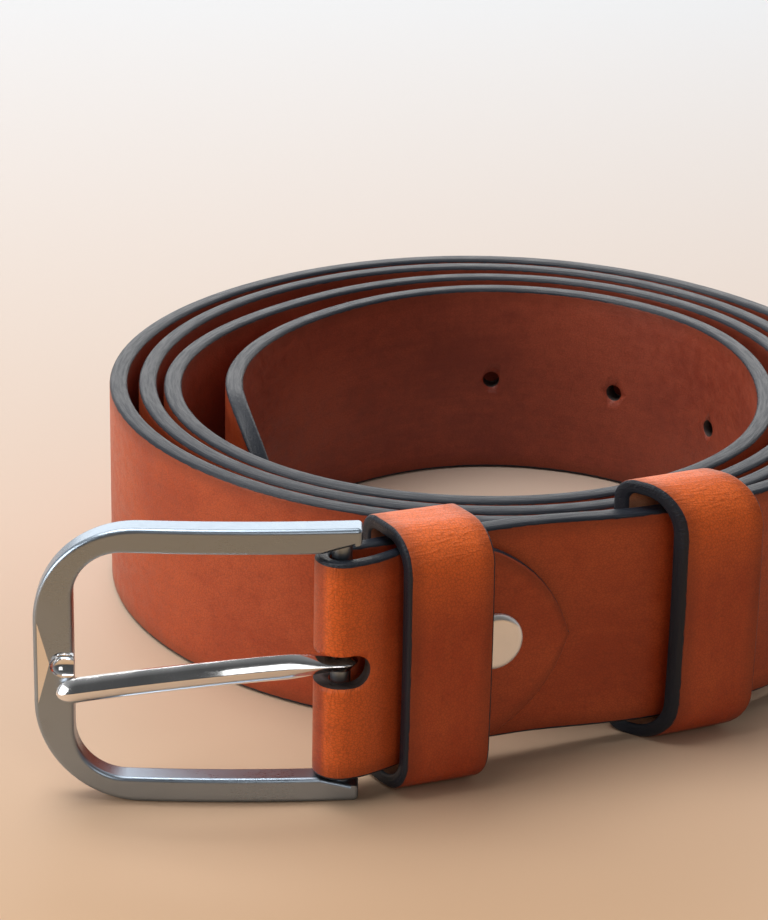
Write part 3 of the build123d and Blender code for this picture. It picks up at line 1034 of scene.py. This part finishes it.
def bevel_sharp(piece, width, degrees):
    modifier = piece.modifiers.new("soften", "BEVEL")
    modifier.width = width * MM
    modifier.segments = 3
    modifier.limit_method = "ANGLE"
    modifier.angle_limit = math.radians(degrees)
    modifier.harden_normals = True


# ---------------------------------------------------------------- screw
def lathe(name, profile, origin, axis, around=64):
    """A turned solid: profile of (radius, height along the axis)."""
    side = axis.orthogonal().normalized()
    other = axis.cross(side)
    mesh = bpy.data.meshes.new(name)
    work = bmesh.new()
    rings = []
    for radius, height in profile:
        if radius == 0:
            rings.append([work.verts.new((origin + axis * height) * MM)])
            continue
        ring = []
        for step in range(around):
            turn = 2 * math.pi * step / around
            ring.append(
                work.verts.new(
                    (
                        origin
                        + axis * height
                        + side * radius * math.cos(turn)
                        + other * radius * math.sin(turn)
                    )
                    * MM
                )
            )
        rings.append(ring)
    for first, second in zip(rings, rings[1:]):
        for number in range(around):
            following = (number + 1) % around
            if len(first) == 1:
                work.faces.new((first[0], second[number], second[following]))
            elif len(second) == 1:
                work.faces.new((first[number], second[0], first[following]))
            else:
                work.faces.new((first[number], second[number], second[following], first[following]))
    bmesh.ops.recalc_face_normals(work, faces=work.faces)
    work.to_mesh(mesh)
    work.free()
    mesh.shade_smooth()
    return add_object(name, mesh)


def make_screw_cap():
    radius = cap_diameter / 2
    rim = cap_height * 0.35
    profile = [(0, cap_height)]
    flat = radius * 0.74
    for step in range(1, 7):
        profile.append((flat * step / 6, cap_height - 0.05 * (step / 6) ** 2))
    for step in range(1, 9):
        turn = math.pi / 2 * step / 8
        profile.append(
            (
                flat + (radius - flat) * math.sin(turn),
                rim + (cap_height - 0.05 - rim) * math.cos(turn),
            )
        )
    barrel = leather_thickness + tab_seam + tab_thickness - 0.3
    profile += [(radius, 0.05), (radius - 0.1, 0.0), (2.3, 0.0), (2.3, -barrel)]
    profile += [(1.5, -barrel), (1.5, 0), (0, 0)]
    cap = lathe("screw_cap", profile, at(screw_from_bar, tab_face, belt_mid_height), front)
    cap.data.materials.append(screw_nickel)
    bevel_sharp(cap, 0.06, 40)
    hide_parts("screw_post")
    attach(cap, "belt")


def polish_notch(node):
    """Polishes the scoop for the prong's tip in the frame's end bar.

    Triangles are picked by their middles, so a large one beside the scoop is caught too.
    """
    node.data.materials.append(polished)
    window_end = frame_length - frame_bar_width
    reach = notch_diameter / 2 + 0.05
    notch_q = bow_at(window_end) + frame_depth / 2 + notch_diameter / 2 - notch_depth
    for face in node.data.polygons:
        place = (node.matrix_world @ face.center) / MM
        aside = (place - bar_axis).dot(frame_front) - notch_q
        above = place.z - mid_height
        beyond = (place - bar_axis).dot(frame_out)
        if math.hypot(aside, above) < reach and window_end < beyond < frame_length:
            face.material_index = 1


def dress_cad():
    """Materials for the CAD nodes whose own shape is shown."""
    finishes = {
        "buckle_frame": satin,
        "buckle_bar": satin,
        "screw": polished,
        "fixed_keeper_staple": wire,
        "sliding_keeper_staple": wire,
    }
    for name, material in finishes.items():
        node = nodes[name]
        node.data.materials.clear()
        node.data.materials.append(material)
    polish_notch(nodes["buckle_frame"])


# ---------------------------------------------------------------- stage, light and camera
def make_stage():
    bpy.ops.mesh.primitive_plane_add(size=8)
    floor = bpy.context.active_object
    floor.name = "table"
    floor.data.materials.append(table_top)


def area_light(name, place, target, size, power, colour):
    light = bpy.data.lights.new(name, "AREA")
    light.shape = "RECTANGLE"
    light.size, light.size_y = size
    light.energy = power
    light.color = colour
    lamp = bpy.data.objects.new(name, light)
    bpy.context.scene.collection.objects.link(lamp)
    lamp.location = place
    lamp.rotation_euler = (Vector(target) - Vector(place)).to_track_quat("-Z", "Y").to_euler()


def make_lights():
    """A bright wall behind and above, a dim room in front, and a soft window at the left."""
    world = bpy.data.worlds.new("studio")
    world.use_nodes = True
    tree = world.node_tree
    background = tree.nodes["Background"]
    place = tree.nodes.new("ShaderNodeTexCoord")
    parts = tree.nodes.new("ShaderNodeSeparateXYZ")
    tree.links.new(place.outputs["Generated"], parts.inputs[0])
    ramp = tree.nodes.new("ShaderNodeMapRange")
    ramp.inputs["From Min"].default_value = -0.55
    ramp.inputs["From Max"].default_value = 0.55
    ramp.inputs["To Min"].default_value = 0.07
    ramp.inputs["To Max"].default_value = 0.60
    tree.links.new(parts.outputs[1], ramp.inputs["Value"])
    tree.links.new(ramp.outputs["Result"], background.inputs["Strength"])
    background.inputs["Color"].default_value = (0.99, 0.985, 0.98, 1)
    bpy.context.scene.world = world
    area_light("key", (-0.30, 0.05, 0.90), (0, 0, 0.02), (0.6, 0.6), 7.5, (1.0, 0.985, 0.96))
    area_light("left", (-0.80, -0.30, 0.25), (0, 0, 0.02), (0.5, 0.4), 3.2, (1.0, 0.98, 0.96))
    area_light("window", (0.10, 1.30, 0.55), (0, 0, 0.02), (2.2, 0.9), 11.0, (1.0, 0.98, 0.955))
    area_light("fill", (0.25, -0.90, 0.55), (0, 0, 0.02), (0.4, 0.4), 1.2, (1.0, 0.97, 0.94))


def make_camera():
    pitch = math.radians(22.5)
    distance = 550.0
    roll = math.radians(1.2)
    focal_in_widths = 3200.0 / 768.0
    target = coil_axis + Vector((-18.5, 6.5, belt_width / 2))
    back = Vector((0, -math.cos(pitch), math.sin(pitch)))
    data = bpy.data.cameras.new("camera")
    data.sensor_fit = "HORIZONTAL"
    data.sensor_width = 36.0
    data.lens = focal_in_widths * data.sensor_width
    data.clip_start = 0.01
    data.clip_end = 20.0
    camera = bpy.data.objects.new("camera", data)
    bpy.context.scene.collection.objects.link(camera)
    camera.location = (target + back * distance) * MM
    look = (-back).to_track_quat("-Z", "Y")
    camera.rotation_mode = "QUATERNION"
    camera.rotation_quaternion = look @ Quaternion((0, 0, 1), roll)
    bpy.context.scene.camera = camera
    bpy.context.scene.view_settings.view_transform = "Standard"


make_strap()
make_keepers()
make_prong()
make_screw_cap()
dress_cad()
make_stage()
make_lights()
make_camera()
